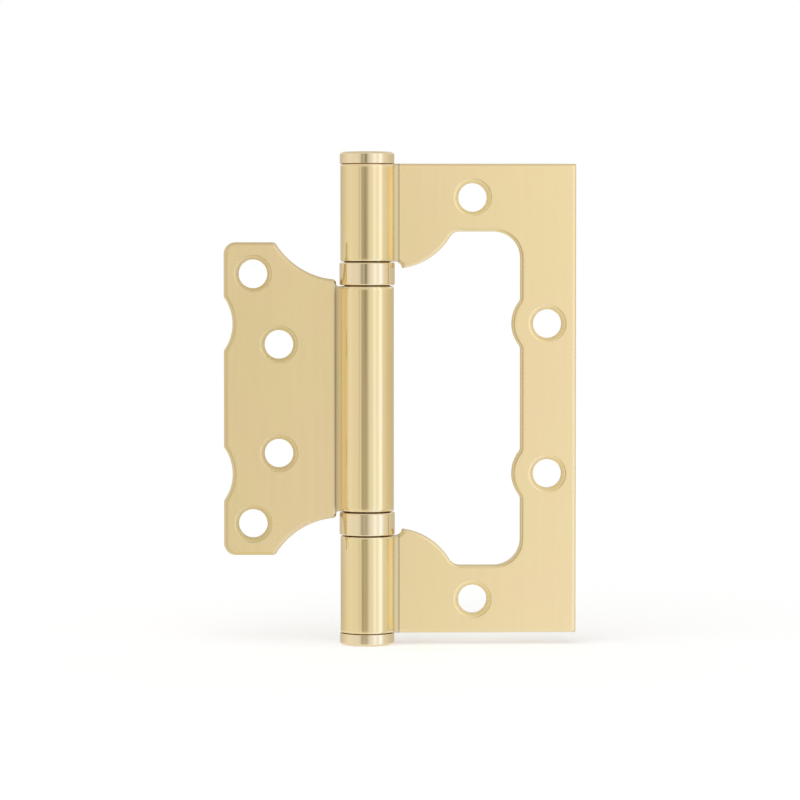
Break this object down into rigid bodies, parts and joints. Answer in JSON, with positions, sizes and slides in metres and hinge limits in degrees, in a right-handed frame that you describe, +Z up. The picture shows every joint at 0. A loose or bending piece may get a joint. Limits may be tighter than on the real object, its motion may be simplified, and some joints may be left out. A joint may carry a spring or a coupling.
{
  "type": "flush hinge",
  "caption": "Flush door hinge whose small leaf nests in the cut-out of the large leaf, with a rolled barrel, bearing rings and flat end buttons, in satin gold.",
  "frame": {"origin": "on the pin axis at mid height", "axes": "+Z runs up the pin, +X towards the large leaf, +Y from the side that shows towards the wood behind the leaves"},
  "size_m": [0.075, 0.0118, 0.105],
  "materials": {
    "satin_gold": "steel sheet with a satin gold plating",
    "polished_gold": "turned steel with a polished gold plating",
    "plain_steel": "bright drawn steel",
    "nylon": "moulded nylon"
  },
  "bodies": {
    "frame_leaf": {"large_leaf": "satin_gold", "hinge_pin": "plain_steel", "top_cap": "polished_gold", "bottom_cap": "polished_gold", "lower_bearing_sleeve": "polished_gold", "lower_bearing_bush": "nylon"},
    "door_leaf": {"small_leaf": "satin_gold", "upper_bearing_sleeve": "polished_gold", "upper_bearing_bush": "nylon"}
  },
  "joints": [
    {"name": "leaf_swing", "type": "hinge", "parent": "frame_leaf", "child": "door_leaf", "pos_m": [0, 0, 0], "axis": [0, 0, 1], "range_deg": [0, 180]}
  ]
}
